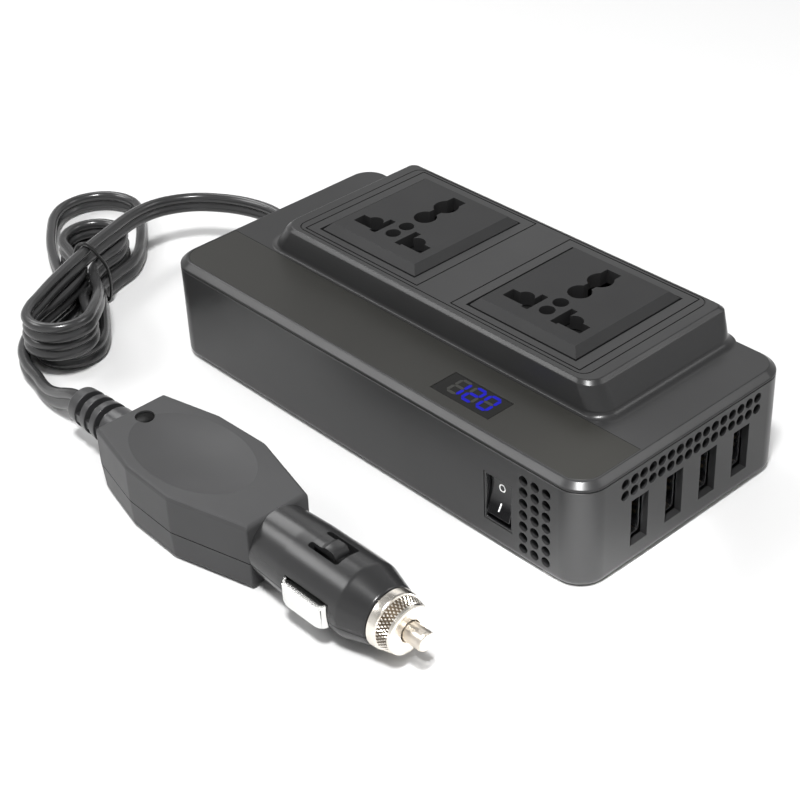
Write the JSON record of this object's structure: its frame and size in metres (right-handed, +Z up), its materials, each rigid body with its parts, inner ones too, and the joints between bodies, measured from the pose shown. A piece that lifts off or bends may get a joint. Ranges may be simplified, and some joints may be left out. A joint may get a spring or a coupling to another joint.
{
  "type": "vehicle power inverter",
  "caption": "Flat car power inverter with raised universal sockets, USB ports, rocker switch, display window and a vehicle socket plug on a flat cord tied in a hank.",
  "frame": {"origin": "under the middle of the case, on the plane its feet stand on", "axes": "+X along the case towards the USB end, -Y the long side with the rocker switch, +Z up"},
  "size_m": [0.2681, 0.1458, 0.0439],
  "materials": {
    "case_plastic": "dark graphite, satin with a fine spark texture",
    "overlay_film": "smooth satin film, warm dark grey",
    "display_glass": "glossy dark window over blue digits",
    "inner_plastic": "plain black moulding",
    "socket_plastic": "dark grey, satin",
    "shutter_plastic": "mid grey, smooth",
    "contact_brass": "bright sheet brass",
    "port_steel": "plated sheet, fine brushing",
    "board_laminate": "green board with solder resist",
    "winding_tape": "taped winding and ferrite core",
    "capacitor_sleeve": "shrunk sleeve, glossy",
    "heat_sink_aluminium": "extruded, plain",
    "switch_gloss": "polished black",
    "foot_rubber": "matte black",
    "screw_steel": "zinc plated",
    "relief_rubber": "satin black, moulded",
    "cord_jacket": "extruded PVC, satin to glossy",
    "tie_plastic": "black plastic over wire",
    "plug_plastic": "dark graphite, satin",
    "indicator_lens": "smoked lens, unlit",
    "plug_steel": "bright spring steel",
    "plug_nickel": "warm nickel plate, satin",
    "fuse_glass": "clear tube"
  },
  "bodies": {
    "case": {"lower_case": "case_plastic", "top_cover": "case_plastic", "overlay_panel": "overlay_film", "display_lens": "display_glass", "display_module": "inner_plastic", "socket_left_face": "socket_plastic", "socket_right_face": "socket_plastic", "socket_left_body": "inner_plastic", "socket_right_body": "inner_plastic", "socket_left_line_contact": "contact_brass", "socket_left_neutral_contact": "contact_brass", "socket_left_earth_contact": "contact_brass", "socket_right_line_contact": "contact_brass", "socket_right_neutral_contact": "contact_brass", "socket_right_earth_contact": "contact_brass", "usb_shell_1": "port_steel", "usb_shell_2": "port_steel", "usb_shell_3": "port_steel", "usb_shell_4": "port_steel", "usb_tongue_1": "inner_plastic", "usb_tongue_2": "inner_plastic", "usb_tongue_3": "inner_plastic", "usb_tongue_4": "inner_plastic", "usb_board": "board_laminate", "main_board": "board_laminate", "transformer": "winding_tape", "capacitor_1": "capacitor_sleeve", "capacitor_2": "capacitor_sleeve", "heat_sink": "heat_sink_aluminium", "fan_frame": "inner_plastic", "switch_frame": "switch_gloss", "foot_1": "foot_rubber", "foot_2": "foot_rubber", "foot_3": "foot_rubber", "foot_4": "foot_rubber", "screw_1": "screw_steel", "screw_2": "screw_steel", "screw_3": "screw_steel", "screw_4": "screw_steel", "case_strain_relief": "relief_rubber", "cord_lead": "cord_jacket", "cord_hank": "cord_jacket", "cord_tail": "cord_jacket", "cord_tie": "tie_plastic", "plug_upper_shell": "plug_plastic", "plug_lower_shell": "plug_plastic", "plug_strain_relief": "relief_rubber", "plug_indicator_lens": "indicator_lens", "plug_nose_cap": "plug_nickel", "plug_tip_spring": "plug_steel", "plug_fuse": "fuse_glass"},
    "rocker": {"switch_rocker": "switch_gloss"},
    "left_shutter": {"socket_left_shutter": "shutter_plastic"},
    "right_shutter": {"socket_right_shutter": "shutter_plastic"},
    "fan_wheel": {"fan_rotor": "inner_plastic"},
    "latch_tab": {"plug_latch_tab": "plug_plastic"},
    "front_contact": {"plug_front_contact": "plug_steel"},
    "back_contact": {"plug_back_contact": "plug_steel"},
    "tip": {"plug_tip": "plug_nickel"}
  },
  "joints": [
    {"name": "rocker_tilt", "type": "hinge", "parent": "case", "child": "rocker", "pos_m": [0.0549, -0.037, 0.0151], "axis": [1, 0, 0], "range_deg": [0, 18]},
    {"name": "left_shutter_slide", "type": "slide", "parent": "case", "child": "left_shutter", "axis": [0, 1, 0], "range_m": [0, 0.0045], "stiffness_N_per_m": 60, "springref_m": -0.002},
    {"name": "right_shutter_slide", "type": "slide", "parent": "case", "child": "right_shutter", "axis": [0, 1, 0], "range_m": [0, 0.0045], "stiffness_N_per_m": 60, "springref_m": -0.002},
    {"name": "fan_spin", "type": "hinge", "parent": "case", "child": "fan_wheel", "pos_m": [-0.0777, -0.016, 0.0162], "axis": [1, 0, 0], "continuous": true},
    {"name": "latch_tab_press", "type": "hinge", "parent": "case", "child": "latch_tab", "pos_m": [0.0388, -0.088, 0.0208], "axis": [0, 1, 0], "range_deg": [0, 8], "stiffness_Nm_per_rad": 0.05, "springref_deg": -2.86},
    {"name": "front_contact_press", "type": "slide", "parent": "case", "child": "front_contact", "axis": [0, 1, 0], "range_m": [0, 0.0015], "stiffness_N_per_m": 400, "springref_m": -0.001},
    {"name": "back_contact_press", "type": "slide", "parent": "case", "child": "back_contact", "axis": [0, -1, 0], "range_m": [0, 0.0015], "stiffness_N_per_m": 400, "springref_m": -0.001},
    {"name": "tip_press", "type": "slide", "parent": "case", "child": "tip", "axis": [-1, 0, 0], "range_m": [0, 0.004], "stiffness_N_per_m": 400, "springref_m": -0.002, "deforming": ["plug_tip_spring"]}
  ]
}
